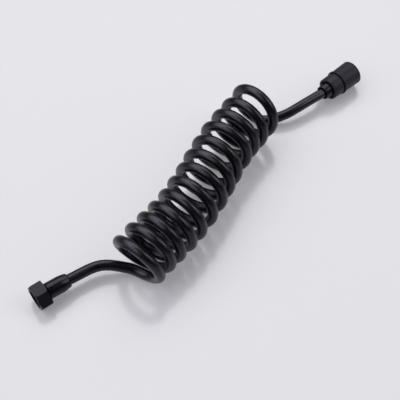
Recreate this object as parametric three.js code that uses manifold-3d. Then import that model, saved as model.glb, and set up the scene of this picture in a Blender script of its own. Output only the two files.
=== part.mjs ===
// A curly shower hose lying on a floor: a heat-set coil with a short plain tail at each end.
// The wall end has a loose hexagonal union nut, and the handset end a tapered nut on a swivel.
// Units are millimetres and +Z is up. The floor is z = 0, and the origin lies midway between the
// two fittings, which are joined by the X axis.
import * as THREE from "three";
import { mergeVertices } from "three/addons/utils/BufferGeometryUtils.js";
import Module from "manifold-3d";

const wasm = await Module();
wasm.setup();

// Clearances
const CLEAR = 0.3; // between pieces that seat on each other or turn in each other
const SEAL_CLEAR = 0.2; // round an O-ring in its groove
const RUNNING_GAP = 1.2; // open groove between the tapered nut and its collar

// Facets of round pieces
const ROUND_SIDES = 40;
const INNER_SIDES = 32;
const HOSE_SIDES = 12;
const COIL_SIDES = 24;
const SEAL_SIDES = 8;

// Hose
const HOSE_OD = 10.5;
const HOSE_BORE = 6.6;
const TAIL_STEPS = 10;

// Coil: the radius of the hose's centreline in a turn, and the coil's axis in plan, [x, y]
const TURN_RADIUS = 25;
const COIL_STEPS = 16;
const COIL_AXIS = [
  [-132.8, -42],
  [-106.2, -37],
  [-80.5, -33.2],
  [-53.2, -26.7],
  [-23, -15.7],
  [4.3, -4],
  [36.7, 8.6],
  [64.7, 15.7],
  [99, 24.8],
];

// Free stretches of the hose, [x, y, z], each listed from its fitting to the coil
const WALL_TAIL_ROUTE = [
  [-170.9, -5.4, 12.8],
  [-158.3, -7.7, 12.8],
  [-148, -11, 12.5],
  [-139.8, -17.2, 11.3],
  [-131.6, -25.6, 8.8],
  [-126.3, -30.8, 7.2],
  [-123.1, -38.1, 5.4],
];
const HANDSET_TAIL_ROUTE = [
  [161.1, 1.7, 13.6],
  [145.1, 3.3, 13.2],
  [137.4, 4.3, 12.6],
  [129.9, 5.6, 11.6],
  [122.5, 7.5, 10.3],
  [112.6, 11.7, 8.3],
  [107.1, 15.1, 7],
  [102.6, 18.3, 6],
  [98.1, 25.4, 5.5],
];

// Half-inch connection, the same in both nuts
const THREAD_BORE = 18.9;
const MOUTH_CHAMFER = 0.9;
const WEB = 2.2; // wall at the bottom of the socket, which traps the flange
const WASHER_THICKNESS = 1.8;
const WASHER_HOLE = 11;
const FLANGE_THICKNESS = 1.8;
const NECK_D = 12.4;

// Barbed ends that the hose is pushed on
const BARB_CREST_D = 6;
const BARB_ROOT_D = 5;
const BARB_PITCH = 2.7;
const WATERWAY_D = 3.8;

// Wall end: the hexagonal nut droops on its level insert and stands on the lower edge of its mouth
const HEX_MOUTH = [-215.5, 0.8]; // centre of the mouth in plan
const WALL_YAW = THREE.MathUtils.degToRad(-7.4);
const NUT_DROOP = THREE.MathUtils.degToRad(4.8);
const HEX_ACROSS_FLATS = 24;
const HEX_LENGTH = 12.5;
const HEX_BEVEL = 0.7;
const SLEEVE_LENGTH = 22;
const SLEEVE_D = 16.3;
const SLEEVE_REAR_D = 13.8;
const SLEEVE_STRAIGHT = 12.5;
const SLEEVE_CHAMFER = 0.5;
const SLEEVE_SEAT = 2.6; // how far the sleeve's front reaches over the insert's neck
const CRIMP_LENGTH = 13;
const CRIMP_GROOVE = 0.3;
const WALL_BARBS = 4;

// Handset end, measured from the nut's mouth. The nut lies on the lip round its rear.
const CONE_MOUTH = [217.3, 0.7]; // centre of the mouth in plan
const CONE_LENGTH = 24.3;
const CONE_MOUTH_D = 26.6;
const CONE_REAR_D = 25.4;
const CONE_SOCKET = 12.3;
const LIP_D = 27.2;
const LIP_LENGTH = 1.5;
const EDGE = 0.4; // small chamfer on the outer edges
const SKIRT_BORE = 20.4;
const COLLAR_LENGTH = 13.3;
const COLLAR_FRONT_D = 24.5;
const COLLAR_REAR_D = 23.8;
const COLLAR_EDGE = 0.9;
const COLLAR_RECESS = 2.4; // depth of the ferrule's pocket in the collar's rear
const POCKET_GAP = 1.2; // open groove round the ferrule there
const STUB_D = 11.6;
const STUB_LENGTH = 6;
const CHAMBER_D = 13.8;
const SPIGOT_LENGTH = 10.4;
const SEAL_SECTION = 1.3;
const SEAL_FROM_END = 2.9;
const SEAL_SPACING = 4.4;
const RING_THICKNESS = 0.9;
const RING_DEPTH = 0.9; // how far the snap ring sits in the collar's wall
const RING_GAP = THREE.MathUtils.degToRad(50);
const THRUST_THICKNESS = 0.8;
const INSERT_NECK_D = 10;
const FERRULE_LENGTH = 8.2; // visible taper behind the collar
const FERRULE_FRONT_D = 16.8;
const FERRULE_REAR_D = 14.8;
const BELL_DEPTH = 1.5; // flare of the ferrule's rear round the hose
const BELL_GAP = 1.2;
const HANDSET_BARBS = 3;

const materials = {
  hose: new THREE.MeshStandardMaterial({ color: 0x1b1b1d, roughness: 0.5, metalness: 0 }),
  nut: new THREE.MeshStandardMaterial({ color: 0x3a3a3e, roughness: 0.45, metalness: 0.3 }),
  sleeve: new THREE.MeshStandardMaterial({ color: 0x2e2e32, roughness: 0.4, metalness: 0.3 }),
  seal: new THREE.MeshStandardMaterial({ color: 0x101010, roughness: 0.8, metalness: 0 }),
  brass: new THREE.MeshStandardMaterial({ color: 0xb59a5b, roughness: 0.35, metalness: 1 }),
  steel: new THREE.MeshStandardMaterial({ color: 0xa8a9ad, roughness: 0.35, metalness: 1 }),
  slip: new THREE.MeshStandardMaterial({ color: 0xe6e4dc, roughness: 0.6, metalness: 0 }),
};

// A closed manifold-3d body from a three.js geometry.
function bodyOf(geometry) {
  const bare = geometry.index ? geometry.toNonIndexed() : geometry.clone();
  bare.deleteAttribute("normal");
  bare.deleteAttribute("uv");
  const merged = mergeVertices(bare, 1e-4);
  return new wasm.Manifold(
    new wasm.Mesh({
      numProp: 3,
      vertProperties: new Float32Array(merged.attributes.position.array),
      triVerts: new Uint32Array(merged.index.array),
    }),
  );
}

// A named mesh from a body.
function meshOf(name, body, material) {
  const { vertProperties, triVerts } = body.getMesh();
  const geometry = new THREE.BufferGeometry();
  geometry.setAttribute("position", new THREE.BufferAttribute(new Float32Array(vertProperties), 3));
  geometry.setIndex(new THREE.BufferAttribute(new Uint32Array(triVerts), 1));
  geometry.computeVertexNormals();
  const mesh = new THREE.Mesh(geometry, material);
  mesh.name = name;
  return mesh;
}

// A ring turned about the local X axis from a closed outline of [x, radius], none of it on the axis.
function turned(outline, sides = ROUND_SIDES, start = 0) {
  const points = outline.map(([x, radius]) => new THREE.Vector2(radius, x));
  if (THREE.ShapeUtils.area(points) < 0) points.reverse();
  points.push(points[0].clone());
  return new THREE.LatheGeometry(points, sides, start).rotateZ(-Math.PI / 2);
}

function turnedMesh(name, outline, material, sides) {
  return meshOf(name, bodyOf(turned(outline, sides)), material);
}

// A flat ring between two stations on the axis.
function ringOutline(front, rear, innerRadius, outerRadius) {
  return [
    [front, innerRadius],
    [front, outerRadius],
    [rear, outerRadius],
    [rear, innerRadius],
  ];
}

// Barbs that let the hose on and hold it back, from the first station towards the open end.
function barbs(front, count) {
  const points = [];
  for (let k = 0; k < count; k++) {
    points.push([front + k * BARB_PITCH, BARB_CREST_D / 2]);
    points.push([front + (k + 1) * BARB_PITCH, BARB_ROOT_D / 2]);
  }
  return points;
}

// Room that a face of this radius needs beside the drooping nut.
function droopRoom(radius) {
  return radius * Math.sin(NUT_DROOP) + CLEAR;
}

// A hexagonal nut with flats above and below, bevelled along both ends.
function hexNut() {
  const corner = HEX_ACROSS_FLATS / Math.sqrt(3);
  const core = WATERWAY_D / 2;
  const blank = bodyOf(
    turned(
      [
        [0, core],
        [0, corner - HEX_BEVEL],
        [HEX_BEVEL, corner],
        [HEX_LENGTH - HEX_BEVEL, corner],
        [HEX_LENGTH, corner - HEX_BEVEL],
        [HEX_LENGTH, core],
      ],
      6,
      Math.PI / 6,
    ),
  );
  const thread = THREAD_BORE / 2;
  const hole = NECK_D / 2 + droopRoom(WEB / 2);
  const socket = HEX_LENGTH - WEB;
  const bore = bodyOf(
    turned([
      [-1, core / 2],
      [-1, thread + MOUTH_CHAMFER + 1],
      [MOUTH_CHAMFER, thread],
      [socket, thread],
      [socket, hole],
      [HEX_LENGTH + 1, hole],
      [HEX_LENGTH + 1, core / 2],
    ]),
  );
  return meshOf("hex_nut", blank.subtract(bore), materials.nut);
}

// The coil as one fat tube of its outer diameter, lying on the floor.
function coilBody(extra = 0) {
  const radius = TURN_RADIUS + HOSE_OD / 2;
  const reach = HOSE_OD / 2 + extra;
  const points = COIL_AXIS.map(([x, y]) => new THREE.Vector3(x, y, radius));
  const first = points[0].clone().sub(points[1]).setLength(reach).add(points[0]);
  const last = points.at(-1).clone().sub(points.at(-2)).setLength(reach).add(points.at(-1));
  const path = new THREE.CatmullRomCurve3([first, ...points, last]);
  return sweptBody(path, radius + extra, COIL_SIDES, COIL_STEPS);
}

// A round bar with flat facets along a path. A corner of its section points straight down.
function sweptBody(path, radius, sides, steps) {
  const section = new THREE.Shape();
  for (let side = 0; side < sides; side++) {
    const angle = (side / sides) * 2 * Math.PI;
    const point = [radius * Math.cos(angle), radius * Math.sin(angle)];
    if (side === 0) section.moveTo(...point);
    else section.lineTo(...point);
  }
  section.closePath();
  return bodyOf(
    new THREE.ExtrudeGeometry(section, { steps, extrudePath: path, bevelEnabled: false }),
  );
}

// A hose tail: straight and bored where the barb enters it, then free to the coil's end.
// front and rear are stations of the straight stretch in the frame of the fitting.
function tail(name, fitting, front, rear, route) {
  fitting.updateWorldMatrix(true, false);
  const place = (geometry) => bodyOf(geometry.applyMatrix4(fitting.matrixWorld));
  const clamped = place(
    turned(ringOutline(front, rear + HOSE_OD / 4, HOSE_BORE / 4, HOSE_OD / 2), HOSE_SIDES),
  );
  const bore = place(turned(ringOutline(front - 1, rear, HOSE_BORE / 8, HOSE_BORE / 2), INNER_SIDES));
  const exit = new THREE.Vector3(rear, 0, 0).applyMatrix4(fitting.matrixWorld);
  const points = route.map((point) => new THREE.Vector3(...point));
  const free = sweptBody(
    new THREE.CatmullRomCurve3([exit, ...points]),
    HOSE_OD / 2,
    HOSE_SIDES,
    TAIL_STEPS,
  );
  return meshOf(name, clamped.add(free).subtract(bore).subtract(coilBody(CLEAR)), materials.hose);
}

// Wall end. Stations run from the nut's mouth towards the hose.
const hexPivot = HEX_LENGTH - WEB / 2;
const hexAxisHeight =
  (HEX_ACROSS_FLATS / 2) * Math.cos(NUT_DROOP) - HEX_BEVEL * Math.sin(NUT_DROOP);
const hexNutGroup = new THREE.Group();
hexNutGroup.position.set(...HEX_MOUTH, hexAxisHeight);
hexNutGroup.rotation.set(0, -NUT_DROOP, WALL_YAW, "ZYX");
const level = new THREE.Group();
level.position.x = hexPivot;
level.rotation.y = NUT_DROOP;
const wallEnd = new THREE.Group();
wallEnd.position.x = -hexPivot;
level.add(wallEnd);
hexNutGroup.add(level);

function buildWallEnd() {
  const neck = NECK_D / 2;
  const flange = THREAD_BORE / 2 - CLEAR - (HEX_LENGTH - WEB) * Math.sin(NUT_DROOP);
  const flangeRear = HEX_LENGTH - WEB - droopRoom(flange);
  const flangeFront = flangeRear - FLANGE_THICKNESS;
  const washerRear = flangeFront - droopRoom(flange);
  const sleeveFront = HEX_LENGTH + droopRoom(SLEEVE_D / 2);
  const sleeveRear = sleeveFront + SLEEVE_LENGTH;
  const neckRear = sleeveFront + SLEEVE_SEAT;
  const sleeveBore = neck + CLEAR;
  const hoseSeat = HOSE_OD / 2 + CLEAR;
  const crimpFront = neckRear + CLEAR;
  const crimpRear = crimpFront + CRIMP_LENGTH;
  const crimp = sleeveBore - CLEAR;
  const waterway = WATERWAY_D / 2;

  hexNutGroup.add(
    hexNut(),
    turnedMesh(
      "hex_nut_washer",
      ringOutline(washerRear - WASHER_THICKNESS, washerRear, WASHER_HOLE / 2, THREAD_BORE / 2 - CLEAR),
      materials.seal,
    ),
  );
  wallEnd.add(
    turnedMesh(
      "wall_insert",
      [
        [flangeFront, waterway],
        [flangeFront, flange],
        [flangeRear, flange],
        [flangeRear, neck],
        [neckRear, neck],
        [neckRear, BARB_ROOT_D / 2],
        ...barbs(crimpFront, WALL_BARBS),
        [crimpFront + WALL_BARBS * BARB_PITCH, waterway],
      ],
      materials.brass,
      INNER_SIDES,
    ),
    turnedMesh(
      "wall_crimp_ferrule",
      [
        [crimpFront, hoseSeat],
        [crimpFront, crimp],
        ...[1, 2].flatMap((groove) => {
          const x = crimpFront + (groove * CRIMP_LENGTH) / 3;
          return [
            [x - 1, crimp],
            [x, crimp - CRIMP_GROOVE],
            [x + 1, crimp],
          ];
        }),
        [crimpRear, crimp],
        [crimpRear, hoseSeat],
      ],
      materials.steel,
      INNER_SIDES,
    ),
    turnedMesh(
      "wall_sleeve",
      [
        [sleeveFront, sleeveBore],
        [sleeveFront, SLEEVE_D / 2 - SLEEVE_CHAMFER],
        [sleeveFront + SLEEVE_CHAMFER, SLEEVE_D / 2],
        ...sleeveTaper(sleeveFront + SLEEVE_STRAIGHT, sleeveRear - SLEEVE_CHAMFER),
        [sleeveRear, SLEEVE_REAR_D / 2 - SLEEVE_CHAMFER],
        [sleeveRear, hoseSeat],
        [crimpRear + CLEAR, hoseSeat],
        [crimpRear + CLEAR, sleeveBore],
      ],
      materials.sleeve,
    ),
  );
  return tail("wall_tail", wallEnd, crimpFront, sleeveRear, WALL_TAIL_ROUTE);
}

// The sleeve's shoulder: a quarter wave from its full diameter down to its rear.
function sleeveTaper(from, to) {
  const points = [];
  const pieces = 5;
  for (let k = 0; k <= pieces; k++) {
    const share = k / pieces;
    const drop = (SLEEVE_D - SLEEVE_REAR_D) / 2;
    points.push([
      from + share * (to - from),
      SLEEVE_D / 2 - drop * (1 - Math.cos((share * Math.PI) / 2)),
    ]);
  }
  return points;
}

// Handset end. Stations run from the nut's mouth towards the hose, along -X.
const handsetEnd = new THREE.Group();
handsetEnd.position.set(...CONE_MOUTH, LIP_D / 2);
handsetEnd.rotation.z = Math.PI;

function buildHandsetEnd() {
  const thread = THREAD_BORE / 2;
  const neck = NECK_D / 2;
  const webRear = CONE_SOCKET + WEB;
  const skirt = SKIRT_BORE / 2;
  const flangeRear = CONE_SOCKET - CLEAR;
  const flangeFront = flangeRear - FLANGE_THICKNESS;
  const washerRear = flangeFront - CLEAR;
  const collarNose = webRear + CLEAR;
  const collarFront = CONE_LENGTH + RUNNING_GAP;
  const collarRear = collarFront + COLLAR_LENGTH;
  const stub = STUB_D / 2;
  const stubRear = collarNose + STUB_LENGTH;
  const chamber = CHAMBER_D / 2;
  const spigot = chamber - CLEAR;
  const spigotFront = stubRear + 2 * CLEAR;
  const spigotRear = spigotFront + SPIGOT_LENGTH;
  const thrustFront = spigotRear + CLEAR;
  const ringFront = thrustFront + THRUST_THICKNESS + CLEAR;
  const ringRear = ringFront + RING_THICKNESS;
  const ringOuter = chamber + RING_DEPTH - CLEAR;
  const recessFront = collarRear - COLLAR_RECESS;
  const pocket = FERRULE_FRONT_D / 2 + POCKET_GAP;
  const insertNeck = INSERT_NECK_D / 2;
  const ferruleFront = recessFront + CLEAR;
  const ferruleRear = collarRear + FERRULE_LENGTH;
  const neckRear = ferruleFront + 1;
  const hoseFront = neckRear + CLEAR;
  const hoseSeat = HOSE_OD / 2 + CLEAR;
  const waterway = WATERWAY_D / 2;
  const grooveFloor = spigot + CLEAR - 2 * SEAL_CLEAR - SEAL_SECTION;
  const seals = [0, 1].map((k) => spigotFront + SEAL_FROM_END + k * SEAL_SPACING);
  const grooveHalf = SEAL_SECTION / 2 + SEAL_CLEAR;

  handsetEnd.add(
    turnedMesh(
      "cone_nut",
      [
        [0, thread + MOUTH_CHAMFER],
        [0, CONE_MOUTH_D / 2 - EDGE],
        [EDGE, CONE_MOUTH_D / 2],
        [CONE_LENGTH - LIP_LENGTH - EDGE, CONE_REAR_D / 2],
        [CONE_LENGTH - LIP_LENGTH, LIP_D / 2 - EDGE],
        [CONE_LENGTH - LIP_LENGTH + EDGE, LIP_D / 2],
        [CONE_LENGTH - EDGE, LIP_D / 2],
        [CONE_LENGTH, LIP_D / 2 - EDGE],
        [CONE_LENGTH, skirt],
        [webRear, skirt],
        [webRear, neck + CLEAR],
        [CONE_SOCKET, neck + CLEAR],
        [CONE_SOCKET, thread],
        [MOUTH_CHAMFER, thread],
      ],
      materials.nut,
    ),
    turnedMesh(
      "cone_nut_washer",
      ringOutline(washerRear - WASHER_THICKNESS, washerRear, WASHER_HOLE / 2, thread - CLEAR),
      materials.seal,
    ),
    turnedMesh(
      "swivel_core",
      [
        [flangeFront, waterway],
        [flangeFront, thread - CLEAR],
        [flangeRear, thread - CLEAR],
        [flangeRear, neck],
        [collarNose - CLEAR, neck],
        [collarNose - CLEAR, stub],
        [stubRear, stub],
        [stubRear, waterway],
      ],
      materials.brass,
      INNER_SIDES,
    ),
    turnedMesh(
      "swivel_collar",
      [
        [collarNose, stub + CLEAR],
        [collarNose, skirt - CLEAR],
        [collarFront, skirt - CLEAR],
        [collarFront, COLLAR_FRONT_D / 2 - EDGE],
        [collarFront + EDGE, COLLAR_FRONT_D / 2],
        [collarRear - COLLAR_EDGE, COLLAR_REAR_D / 2],
        [collarRear, COLLAR_REAR_D / 2 - COLLAR_EDGE / 2],
        [collarRear, pocket],
        [recessFront, pocket],
        [recessFront, chamber],
        [ringRear + CLEAR, chamber],
        [ringRear + CLEAR, chamber + RING_DEPTH],
        [ringFront - CLEAR, chamber + RING_DEPTH],
        [ringFront - CLEAR, chamber],
        [stubRear + CLEAR, chamber],
        [stubRear + CLEAR, stub + CLEAR],
      ],
      materials.nut,
    ),
    snapRing(ringFront, insertNeck + 2 * CLEAR, ringOuter),
    turnedMesh(
      "thrust_washer",
      ringOutline(thrustFront, thrustFront + THRUST_THICKNESS, insertNeck + CLEAR, spigot),
      materials.slip,
      INNER_SIDES,
    ),
    turnedMesh(
      "handset_insert",
      [
        [spigotFront, waterway],
        [spigotFront, spigot],
        ...seals.flatMap((x) => [
          [x - grooveHalf, spigot],
          [x - grooveHalf, grooveFloor],
          [x + grooveHalf, grooveFloor],
          [x + grooveHalf, spigot],
        ]),
        [spigotRear, spigot],
        [spigotRear, insertNeck],
        [neckRear, insertNeck],
        [neckRear, BARB_ROOT_D / 2],
        ...barbs(hoseFront, HANDSET_BARBS),
        [hoseFront + HANDSET_BARBS * BARB_PITCH, waterway],
      ],
      materials.brass,
      INNER_SIDES,
    ),
    turnedMesh(
      "handset_ferrule",
      [
        [ferruleFront, hoseSeat],
        [ferruleFront, FERRULE_FRONT_D / 2],
        [collarRear, FERRULE_FRONT_D / 2],
        [ferruleRear - EDGE, FERRULE_REAR_D / 2],
        [ferruleRear, FERRULE_REAR_D / 2 - EDGE],
        [ferruleRear, hoseSeat + BELL_GAP],
        [ferruleRear - BELL_DEPTH, hoseSeat],
      ],
      materials.sleeve,
    ),
  );
  seals.forEach((x, k) => {
    const ring = new THREE.TorusGeometry(
      grooveFloor + SEAL_CLEAR + SEAL_SECTION / 2,
      SEAL_SECTION / 2,
      SEAL_SIDES,
      INNER_SIDES,
    ).rotateY(Math.PI / 2);
    ring.translate(x, 0, 0);
    handsetEnd.add(meshOf(k ? "o_ring_rear" : "o_ring_front", bodyOf(ring), materials.seal));
  });
  return tail("handset_tail", handsetEnd, hoseFront, ferruleRear, HANDSET_TAIL_ROUTE);
}

// An open ring that springs into the collar's groove.
function snapRing(front, inner, outer) {
  const shape = new THREE.Shape();
  shape.absarc(0, 0, outer, RING_GAP / 2, 2 * Math.PI - RING_GAP / 2, false);
  shape.absarc(0, 0, inner, 2 * Math.PI - RING_GAP / 2, RING_GAP / 2, true);
  const geometry = new THREE.ExtrudeGeometry(shape, {
    depth: RING_THICKNESS,
    curveSegments: INNER_SIDES,
    bevelEnabled: false,
  });
  geometry.rotateY(Math.PI / 2).translate(front, 0, 0);
  return meshOf("snap_ring", bodyOf(geometry), materials.steel);
}

const hose = new THREE.Group();
hose.add(hexNutGroup, handsetEnd);
const wallTail = buildWallEnd();
const handsetTail = buildHandsetEnd();
hose.add(meshOf("hose_coil", coilBody(), materials.hose), wallTail, handsetTail);

export default hose;
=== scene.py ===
"""The curly shower hose on its pale floor. Lengths in the constants are millimetres."""

import math

import bpy
from mathutils import Matrix, Vector


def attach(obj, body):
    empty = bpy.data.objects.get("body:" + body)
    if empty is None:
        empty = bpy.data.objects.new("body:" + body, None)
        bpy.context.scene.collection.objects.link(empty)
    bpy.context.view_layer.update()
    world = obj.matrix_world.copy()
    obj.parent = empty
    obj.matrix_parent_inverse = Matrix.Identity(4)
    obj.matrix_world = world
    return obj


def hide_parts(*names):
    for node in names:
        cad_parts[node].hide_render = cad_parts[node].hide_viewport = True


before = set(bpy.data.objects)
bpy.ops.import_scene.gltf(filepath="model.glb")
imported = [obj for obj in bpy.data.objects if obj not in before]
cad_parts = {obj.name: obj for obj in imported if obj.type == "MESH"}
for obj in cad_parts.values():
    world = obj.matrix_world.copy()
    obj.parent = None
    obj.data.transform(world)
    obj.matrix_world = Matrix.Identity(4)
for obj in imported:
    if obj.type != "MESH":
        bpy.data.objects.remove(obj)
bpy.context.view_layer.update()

MM = 0.001

# The photo's camera: the floor point in the middle of the picture, and the view from it
LOOK_AT = (-19.3, -9.65, 0)
CAMERA_WAY = (-0.4292, -0.4603, 0.7771)
CAMERA_FAR = 1000
FOCAL, SENSOR = 90, 36

# Hose. Routes run from a fitting to the coil.
HOSE_OD = 10.5
TURNS = 13
POINTS_PER_TURN = 30
TURN_RADIUS = 25
# The coil's axis in plan at even shares of its turns. At each of these points, how far a turn's
# top and its left side lead its middle along the axis, and how far it is wound on, in radians
COIL_AXIS = [
    (-132.8, -42),
    (-106.2, -37),
    (-80.5, -33.2),
    (-53.2, -26.7),
    (-23, -15.7),
    (4.3, -4),
    (36.7, 8.6),
    (64.7, 15.7),
    (99, 24.8),
]
TOP_LEAD = [-9.7, -4, -4.8, -3.2, -2.4, -1.4, -2.3, -1.2, -0.5]
LEFT_LEAD = [-1.2, -2.7, -1.2, 1.3, 1.1, 2, -1.6, -0.2, 1.2]
PHASE = [0.4, 0.29, 0.3, 0.3, 0.23, 0.24, 0.21, 0.05, -0.17]
WALL_TAIL_ROUTE = [
    (-170.9, -5.4, 12.8),
    (-158.3, -7.6, 12.8),
    (-148.1, -11.1, 12.5),
    (-139.8, -17.2, 11.3),
    (-131.5, -25.5, 8.8),
    (-126.9, -30.7, 6.9),
]
HANDSET_TAIL_ROUTE = [
    (161.1, 1.7, 13.6),
    (145.1, 3.3, 13.2),
    (137.4, 4.3, 12.6),
    (129.9, 5.6, 11.6),
    (122.5, 7.5, 10.3),
    (112.6, 11.7, 8.3),
    (108.1, 14.3, 7.2),
    (104.2, 17.5, 6.2),
    (101, 21.4, 5.5),
]

# End fittings, with the CAD model's names and sizes. Stations run from a nut's mouth to the hose.
CLEAR = 0.3
HOSE_SEAT = HOSE_OD / 2 + 0.1
THREAD_BORE = 18.9
THREAD_PITCH = 1.814
THREAD_DEPTH = 0.85
THREAD_ROWS = 8  # rows of vertices in one pitch
CORNER_RADIUS = 0.1
CORNER_STEPS = 4
SHARP_EDGE = math.radians(35)
MOUTH_CHAMFER = 0.9
WEB = 2.2
NECK_D = 12.4
NECK_BORE = NECK_D + 2 * CLEAR

HEX_MOUTH = (-215.5, 0.8, 11.899)
WALL_YAW = math.radians(-7.4)
NUT_DROOP = math.radians(4.8)
HEX_ACROSS_FLATS = 24
HEX_LENGTH = 12.5
HEX_SOCKET = HEX_LENGTH - WEB
HEX_PIVOT = HEX_LENGTH - WEB / 2
MOUTH_CUT, REAR_CUT = 1.9, 1.2  # how far the nut's corners fall at its two ends
SLEEVE_D, SLEEVE_REAR_D, SLEEVE_STRAIGHT = 16.3, 13.8, 12.5
SLEEVE_FRONT = HEX_LENGTH + SLEEVE_D / 2 * math.sin(NUT_DROOP) + CLEAR
SLEEVE_REAR = SLEEVE_FRONT + 22
SLEEVE_BORE_DEPTH = 16
SLEEVE_CHAMFER = 0.5

CONE_MOUTH = (217.3, 0.7, 13.6)
CONE_MOUTH_D, CONE_REAR_D = 26.6, 25.4
CONE_LENGTH = 24.3
CONE_SOCKET = 12.3
LIP_D, LIP_LENGTH = 27.2, 1.5
SKIRT_BORE = 20.4
COLLAR_NOSE = CONE_SOCKET + WEB + CLEAR
COLLAR_FRONT, COLLAR_REAR = 25.5, 38.8
COLLAR_FRONT_D, COLLAR_REAR_D = 24.5, 23.8
STUB_REAR = 20.8
STUB_D = 11.6
CHAMBER_D = 13.8
RING_FRONT, RING_REAR = 33.2, 34.1
RING_DEPTH = 0.9
RECESS = COLLAR_REAR - 2.4
POCKET_GAP = 1.2
FERRULE_REAR = COLLAR_REAR + 8.2
FERRULE_FRONT_D, FERRULE_REAR_D = 16.8, 14.8
BELL_D, BELL_DEPTH = 13.5, 1.5

# Floor
FLOOR_SIZE = 8000
FLOOR_GAP = 0.3  # between the floor and the hose, which lies at z = 0
FLOOR_PAINT = (0.75, 0.745, 0.785, 1)
SEEN_PAINT = (0.405, 0.401, 0.436, 1)
SEEN_GLOW = 0.2


# Materials
def principled(name, **inputs):
    """A material with its shader's inputs set, each named with _ for a space."""
    material = bpy.data.materials.new(name)
    material.use_nodes = True
    shader = material.node_tree.nodes["Principled BSDF"]
    for key, value in inputs.items():
        shader.inputs[key.replace("_", " ")].default_value = value
    return material, material.node_tree, shader


def finish(name, scale, low, high, bump=0.0, depth=0.0, stretch=(1, 1, 1), **inputs):
    """A material whose roughness varies with noise in object space, and its surface with bump.

    Depth is in metres.
    """
    material, tree, shader = principled(name, **inputs)
    nodes, links = tree.nodes, tree.links
    place = nodes.new("ShaderNodeTexCoord")
    mapping = nodes.new("ShaderNodeMapping")
    mapping.inputs["Scale"].default_value = stretch
    noise = nodes.new("ShaderNodeTexNoise")
    noise.inputs["Scale"].default_value = scale
    noise.inputs["Detail"].default_value = 3
    spread = nodes.new("ShaderNodeMapRange")
    spread.inputs["From Min"].default_value = 0.3
    spread.inputs["From Max"].default_value = 0.7
    spread.inputs["To Min"].default_value = low
    spread.inputs["To Max"].default_value = high
    links.new(place.outputs["Object"], mapping.inputs["Vector"])
    links.new(mapping.outputs["Vector"], noise.inputs["Vector"])
    links.new(noise.outputs["Fac"], spread.inputs["Value"])
    links.new(spread.outputs["Result"], shader.inputs["Roughness"])
    if bump:
        relief = nodes.new("ShaderNodeBump")
        relief.inputs["Strength"].default_value = bump
        relief.inputs["Distance"].default_value = depth
        links.new(noise.outputs["Fac"], relief.inputs["Height"])
        links.new(relief.outputs["Normal"], shader.inputs["Normal"])
    return material


BLACK_GLOSS = (0.87, 0.82, 1, 1)
hose_black = finish(
    "hose black", 240, 0.26, 0.36, bump=0.12, depth=0.00004,
    Base_Color=(0.0018, 0.0016, 0.0026, 1), IOR=1.52, Specular_Tint=BLACK_GLOSS,
)
nut_grey = finish(
    "nut grey", 500, 0.42, 0.52, bump=0.1, depth=0.00003, stretch=(0.06, 1, 1),
    Base_Color=(0.022, 0.0209, 0.0275, 1), Metallic=0.35, IOR=1.4, Specular_Tint=BLACK_GLOSS,
)
hex_black = finish(
    "hexagonal nut black", 300, 0.32, 0.4, bump=0.1, depth=0.00003,
    Base_Color=(0.003, 0.0028, 0.005, 1), IOR=1.4, Specular_Tint=BLACK_GLOSS,
)
sleeve_black = finish(
    "sleeve black", 300, 0.22, 0.3,
    Base_Color=(0.003, 0.0028, 0.0045, 1), IOR=1.42, Specular_Tint=BLACK_GLOSS,
)
# The wall insert's brass is painted near black: painted shade for the gap between the hexagonal nut
# and the sleeve, where the brass would otherwise show.
gap_shade_dark = finish("tarnished brass", 300, 0.5, 0.65, Base_Color=(0.012, 0.011, 0.01, 1), Metallic=1)
rubber = finish("rubber", 300, 0.6, 0.75, Base_Color=(0.01, 0.01, 0.01, 1))
brass = finish("brass", 300, 0.25, 0.35, Base_Color=(0.5, 0.34, 0.12, 1), Metallic=1)
steel = finish("steel", 300, 0.25, 0.35, Base_Color=(0.45, 0.45, 0.47, 1), Metallic=1)
slip = finish("slip washer", 300, 0.45, 0.6, Base_Color=(0.75, 0.73, 0.67, 1))


# Camera
def point(xyz):
    return Vector(xyz) * MM


camera = bpy.data.objects.new("camera", bpy.data.cameras.new("camera"))
bpy.context.collection.objects.link(camera)
camera.data.sensor_width = SENSOR
camera.data.lens = FOCAL
camera.data.clip_start = 0.05
camera.data.clip_end = 50
way = Vector(CAMERA_WAY).normalized()
camera.matrix_world = Matrix.Translation(point(LOOK_AT) + way * CAMERA_FAR * MM) @ way.to_track_quat(
    "Z", "Y"
).to_matrix().to_4x4()
bpy.context.scene.camera = camera


# Hose
def spline(points, t):
    """A Catmull-Rom curve through points, one unit of t apart, and its direction."""
    i = min(max(int(t), 0), len(points) - 2)
    u = t - i
    a, b = points[i], points[i + 1]
    before = points[i - 1] if i else 2 * a - b
    after = points[i + 2] if i + 2 < len(points) else 2 * b - a
    value = 0.5 * (
        2 * a
        + (b - before) * u
        + (2 * before - 5 * a + 4 * b - after) * u**2
        + (3 * a - before - 3 * b + after) * u**3
    )
    slope = 0.5 * (
        (b - before)
        + 2 * (2 * before - 5 * a + 4 * b - after) * u
        + 3 * (3 * a - before - 3 * b + after) * u**2
    )
    return value, slope.normalized()


def coil_point(turn):
    """The hose's centreline in the coil, turn counted from -0.25 at its wall end."""
    knots = [Vector((*xy, TURN_RADIUS + HOSE_OD / 2)) for xy in COIL_AXIS]
    where = (turn + 0.25) / TURNS * (len(knots) - 1)
    centre, along = spline(knots, where)
    along = Vector((along.x, along.y, 0)).normalized()
    side = Vector((-along.y, along.x, 0))
    leads = [Vector(v) for v in zip(TOP_LEAD, LEFT_LEAD, PHASE)]
    top, left, phase = spline(leads, where)[0]
    angle = math.pi + phase - 2 * math.pi * turn
    return (
        centre
        + side * TURN_RADIUS * math.cos(angle)
        + Vector((0, 0, TURN_RADIUS * math.sin(angle)))
        + along * (top * math.sin(angle) + left * math.cos(angle))
    )


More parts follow.
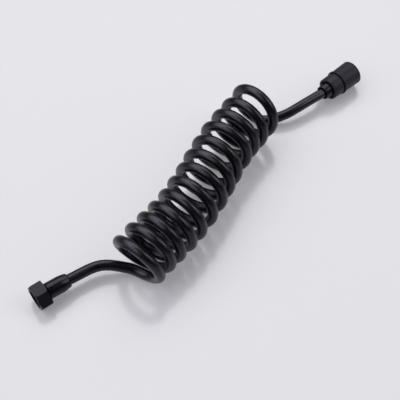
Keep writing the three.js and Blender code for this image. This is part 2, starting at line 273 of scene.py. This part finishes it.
def fitting(mouth, yaw):
    """A fitting's own frame: from its mouth along +X to the hose."""
    return Matrix.Translation(Vector(mouth)) @ Matrix.Rotation(yaw, 4, "Z")


hex_place = fitting(HEX_MOUTH, WALL_YAW) @ Matrix.Rotation(-NUT_DROOP, 4, "Y")
level = (
    Matrix.Translation((HEX_PIVOT, 0, 0))
    @ Matrix.Rotation(NUT_DROOP, 4, "Y")
    @ Matrix.Translation((-HEX_PIVOT, 0, 0))
)
wall_place = hex_place @ level
handset_place = fitting(CONE_MOUTH, math.pi)

# The coil's own end points are left out, so that the tails run smoothly into it, and the ends of
# the hose are hidden in their fittings
coil = [coil_point(-0.25 + k / POINTS_PER_TURN) for k in range(1, TURNS * POINTS_PER_TURN)]
start = [wall_place @ Vector((x, 0, 0)) for x in (SLEEVE_REAR - 12, SLEEVE_REAR - 4, SLEEVE_REAR)]
end = [handset_place @ Vector((x, 0, 0)) for x in (FERRULE_REAR, FERRULE_REAR - 4, FERRULE_REAR - 8)]
knots = (
    start
    + [Vector(p) for p in WALL_TAIL_ROUTE]
    + coil
    + [Vector(p) for p in reversed(HANDSET_TAIL_ROUTE)]
    + end
)
route = [spline(knots, k / 2)[0] for k in range(2 * len(knots) - 1)]
data = bpy.data.curves.new("hose", "CURVE")
data.dimensions = "3D"
data.bevel_depth = HOSE_OD / 2 * MM
data.bevel_resolution = 10
data.use_fill_caps = True
line = data.splines.new("POLY")
line.points.add(len(route) - 1)
for p, xyz in zip(line.points, route):
    p.co = (*(xyz * MM), 1)
line.use_smooth = True
hose = bpy.data.objects.new("curly_hose", data)
bpy.context.collection.objects.link(hose)
data.materials.append(hose_black)
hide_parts("hose_coil", "wall_tail", "handset_tail")
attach(hose, "hose")


# Turned pieces
def rounded(outline):
    """The outline with its corners rounded, each (x, r) or (x, r, own radius)."""
    made = []
    count = len(outline)
    for i, corner in enumerate(outline):
        own = corner[2] if len(corner) > 2 else CORNER_RADIUS
        here = Vector(corner[:2])
        before = Vector(outline[i - 1][:2]) - here
        after = Vector(outline[(i + 1) % count][:2]) - here
        reach = min(own, before.length * 0.45, after.length * 0.45)
        if reach < 1e-3:
            made.append(here)
            continue
        a = here + before.normalized() * reach
        b = here + after.normalized() * reach
        for k in range(CORNER_STEPS + 1):
            u = k / CORNER_STEPS
            made.append((1 - u) ** 2 * a + 2 * u * (1 - u) * here + u**2 * b)
    return made


def turned(node, outline, material, place, body, sides=128, radius_at=None):
    """A closed outline of (x, r) turned about the local X axis, in place of a CAD node."""
    vertices = []
    count = len(outline)
    for s in range(sides):
        angle = 2 * math.pi * s / sides
        for x, r in outline:
            r = radius_at(x, r, angle) if radius_at else r
            vertices.append(place @ Vector((x, r * math.cos(angle), r * math.sin(angle))) * MM)
    faces = []
    signed = sum(a[0] * b[1] - b[0] * a[1] for a, b in zip(outline, outline[1:] + outline[:1]))
    for s in range(sides):
        for i in range(count):
            j = (i + 1) % count
            n = (s + 1) % sides
            face = (s * count + i, s * count + j, n * count + j, n * count + i)
            faces.append(face if signed > 0 else face[::-1])
    name = f"{node}_body"
    mesh = bpy.data.meshes.new(name)
    mesh.from_pydata([tuple(v) for v in vertices], [], faces)
    mesh.update()
    mesh.shade_smooth()
    mesh.set_sharp_from_angle(angle=SHARP_EDGE)
    mesh.materials.append(material)
    made = bpy.data.objects.new(name, mesh)
    bpy.context.collection.objects.link(made)
    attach(made, body)
    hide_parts(node)


def thread(front, rear):
    """Stations along a threaded bore, finely enough for its helical groove."""
    steps = int((rear - front) / THREAD_PITCH * THREAD_ROWS)
    return [(front + (rear - front) * k / steps, THREAD_BORE / 2) for k in range(steps + 1)]


def threaded(front, rear, outside=None):
    """The radius of a point of a nut: a groove winds round its bore between two stations."""

    def radius_at(x, r, angle):
        if abs(r - THREAD_BORE / 2) > 0.01 or not front <= x <= rear:
            return outside(r, angle) if outside else r
        phase = (x / THREAD_PITCH - angle / (2 * math.pi)) % 1
        fade = min(1, (rear - x) / THREAD_PITCH, (x - front) / (0.3 * THREAD_PITCH))
        return r + THREAD_DEPTH * max(fade, 0) * (1 - abs(2 * phase - 1))

    return radius_at


def hexagon(r, angle):
    """The radius of the hexagonal nut's six-sided outside. Points nearer its bore stay round."""
    if r < (THREAD_BORE + HEX_ACROSS_FLATS) / 4:
        return r
    turn = angle % (math.pi / 3) - math.pi / 6
    return min(r, HEX_ACROSS_FLATS / 2 / math.cos(turn))


corner_r = HEX_ACROSS_FLATS / math.sqrt(3)
mouth = (0, THREAD_BORE / 2 + MOUTH_CHAMFER)
hole = NECK_BORE / 2 + WEB / 2 * math.sin(NUT_DROOP)
hex_outline = (
    [mouth, (0, corner_r - MOUTH_CUT)]
    + [(0.02 + 0.5 * k, corner_r - MOUTH_CUT + 0.55 * k) for k in (1, 2, 3)]
    + [(1.8 + 0.5 * k, corner_r) for k in range(19)]
    + [(HEX_LENGTH - 0.02 - 0.35 * k, corner_r - REAR_CUT + 0.45 * k) for k in (2, 1)]
    + [(HEX_LENGTH, corner_r - REAR_CUT), (HEX_LENGTH, hole), (HEX_SOCKET, hole)]
    + thread(MOUTH_CHAMFER, HEX_SOCKET)[::-1]
)
turned(
    "hex_nut", hex_outline, hex_black, hex_place, "hex_nut",
    sides=192, radius_at=threaded(MOUTH_CHAMFER, HEX_SOCKET, hexagon),
)

taper = []
taper_front = SLEEVE_FRONT + SLEEVE_STRAIGHT
taper_length = SLEEVE_REAR - SLEEVE_CHAMFER - taper_front
for k in range(13):
    share = k / 12
    fall = (SLEEVE_D - SLEEVE_REAR_D) / 2 * (1 - math.cos(share * math.pi / 2))
    taper.append((taper_front + share * taper_length, SLEEVE_D / 2 - fall, 0))
sleeve = rounded(
    [(SLEEVE_FRONT, NECK_BORE / 2), (SLEEVE_FRONT, SLEEVE_D / 2, 0.6)]
    + taper
    + [
        (SLEEVE_REAR, SLEEVE_REAR_D / 2 - 0.3, 0.4),
        (SLEEVE_REAR, HOSE_SEAT, 0.3),
        (SLEEVE_FRONT + SLEEVE_BORE_DEPTH, HOSE_SEAT),
        (SLEEVE_FRONT + SLEEVE_BORE_DEPTH, NECK_BORE / 2),
    ]
)
turned("wall_sleeve", sleeve, sleeve_black, wall_place, "hose")

cone = (
    rounded(
        [
            (*mouth, 0.1),
            (0, CONE_MOUTH_D / 2, 0.5),
            (CONE_LENGTH - LIP_LENGTH, CONE_REAR_D / 2, 0.25),
            (CONE_LENGTH - LIP_LENGTH + 0.1, LIP_D / 2, 0.5),
            (CONE_LENGTH, LIP_D / 2, 0.5),
            (CONE_LENGTH, SKIRT_BORE / 2, 0.3),
            (CONE_SOCKET + WEB, SKIRT_BORE / 2, 0.3),
            (CONE_SOCKET + WEB, NECK_BORE / 2, 0.1),
            (CONE_SOCKET, NECK_BORE / 2, 0.1),
        ]
    )
    + thread(MOUTH_CHAMFER, CONE_SOCKET)[::-1]
)
turned(
    "cone_nut", cone, nut_grey, handset_place, "cone_nut",
    sides=160, radius_at=threaded(MOUTH_CHAMFER, CONE_SOCKET),
)

collar = rounded(
    [
        (COLLAR_NOSE, STUB_D / 2 + CLEAR),
        (COLLAR_NOSE, SKIRT_BORE / 2 - CLEAR, 0.4),
        (COLLAR_FRONT, SKIRT_BORE / 2 - CLEAR, 0.3),
        (COLLAR_FRONT, COLLAR_FRONT_D / 2, 0.5),
        (COLLAR_REAR, COLLAR_REAR_D / 2, 0.9),
        (COLLAR_REAR, FERRULE_FRONT_D / 2 + POCKET_GAP, 0.2),
        (RECESS, FERRULE_FRONT_D / 2 + POCKET_GAP),
        (RECESS, CHAMBER_D / 2),
        (RING_REAR + CLEAR, CHAMBER_D / 2),
        (RING_REAR + CLEAR, CHAMBER_D / 2 + RING_DEPTH),
        (RING_FRONT - CLEAR, CHAMBER_D / 2 + RING_DEPTH),
        (RING_FRONT - CLEAR, CHAMBER_D / 2),
        (STUB_REAR + CLEAR, CHAMBER_D / 2),
        (STUB_REAR + CLEAR, STUB_D / 2 + CLEAR),
    ]
)
turned("swivel_collar", collar, nut_grey, handset_place, "swivel")

ferrule = rounded(
    [
        (RECESS + CLEAR, HOSE_SEAT),
        (RECESS + CLEAR, FERRULE_FRONT_D / 2, 0.2),
        (COLLAR_REAR, FERRULE_FRONT_D / 2, 0.3),
        (FERRULE_REAR, FERRULE_REAR_D / 2, 0.4),
        (FERRULE_REAR, BELL_D / 2, 0.2),
        (FERRULE_REAR - BELL_DEPTH, HOSE_SEAT),
    ]
)
turned("handset_ferrule", ferrule, sleeve_black, handset_place, "hose")

finishes = {
    "hex_nut_washer": rubber, "cone_nut_washer": rubber, "o_ring_front": rubber, "o_ring_rear": rubber,
    # The wall insert gets the near-black brass, which is painted shade in its gap.
    "wall_insert": gap_shade_dark, "swivel_core": brass, "handset_insert": brass,
    "wall_crimp_ferrule": steel, "snap_ring": steel, "thrust_washer": slip,
    "hex_nut": hex_black, "cone_nut": nut_grey, "swivel_collar": nut_grey,
    "wall_sleeve": sleeve_black, "handset_ferrule": sleeve_black,
    "hose_coil": hose_black, "wall_tail": hose_black, "handset_tail": hose_black,
}
for name, material in finishes.items():
    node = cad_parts[name]
    node.data.materials.clear()
    node.data.materials.append(material)

# Floor and light
bpy.ops.mesh.primitive_plane_add(size=FLOOR_SIZE * MM, location=(0, 0, -FLOOR_GAP * MM))
floor = bpy.context.object
floor.name = "floor"
pale, tree, shader = principled(
    "floor", Base_Color=FLOOR_PAINT, Roughness=0.19, IOR=1.85, Emission_Color=(0.95, 0.945, 1, 1)
)
# What the camera sees of the floor, directly or in a gloss, is partly an even pale glow, which
# keeps the shadows as light as the photo's. All other light meets plain pale paint.
path = tree.nodes.new("ShaderNodeLightPath")
seen = path.outputs["Is Camera Ray"]
for kind in ("Is Glossy Ray", "Is Transmission Ray"):
    either = tree.nodes.new("ShaderNodeMath")
    either.operation = "MAXIMUM"
    tree.links.new(seen, either.inputs[0])
    tree.links.new(path.outputs[kind], either.inputs[1])
    seen = either.outputs["Value"]
glow = tree.nodes.new("ShaderNodeMath")
glow.operation = "MULTIPLY"
glow.inputs[1].default_value = SEEN_GLOW
tree.links.new(seen, glow.inputs[0])
tree.links.new(glow.outputs["Value"], shader.inputs["Emission Strength"])
paint = tree.nodes.new("ShaderNodeMix")
paint.data_type = "RGBA"
paint.inputs["A"].default_value = FLOOR_PAINT
paint.inputs["B"].default_value = SEEN_PAINT
tree.links.new(seen, paint.inputs["Factor"])
tree.links.new(paint.outputs["Result"], shader.inputs["Base Color"])
floor.data.materials.append(pale)


def softbox(name, azimuth, elevation, far, width, height, radiance):
    """A soft light aimed at the middle of the picture. Angles are in degrees, lengths in metres.

    Azimuth 0 is the picture's right and 90 is away from the camera.
    """
    light = bpy.data.objects.new(name, bpy.data.lights.new(name, "AREA"))
    bpy.context.collection.objects.link(light)
    light.data.shape = "RECTANGLE"
    light.data.size = width
    light.data.size_y = height
    light.data.energy = radiance * math.pi * width * height
    right = camera.matrix_world.to_3x3() @ Vector((1, 0, 0))
    away = Vector((-right.y, right.x, 0))
    az, el = math.radians(azimuth), math.radians(elevation)
    way = (right * math.cos(az) + away * math.sin(az)) * math.cos(el) + Vector((0, 0, math.sin(el)))
    light.location = point(LOOK_AT) + way * far
    light.rotation_euler = way.to_track_quat("Z", "Y").to_euler()


softbox("softbox_back", 114, 57, 8, 11.5, 7.4, 2.1)
softbox("softbox_right", 0, 40, 8, 4, 6, 2.5)
softbox("softbox_left", 200, 44, 8, 9, 8, 1.7)

world = bpy.data.worlds.new("world")
bpy.context.scene.world = world
world.use_nodes = True
world.node_tree.nodes["Background"].inputs["Color"].default_value = (0.05, 0.05, 0.052, 1)

bpy.context.scene.view_settings.view_transform = "Standard"

bpy.context.view_layer.update()
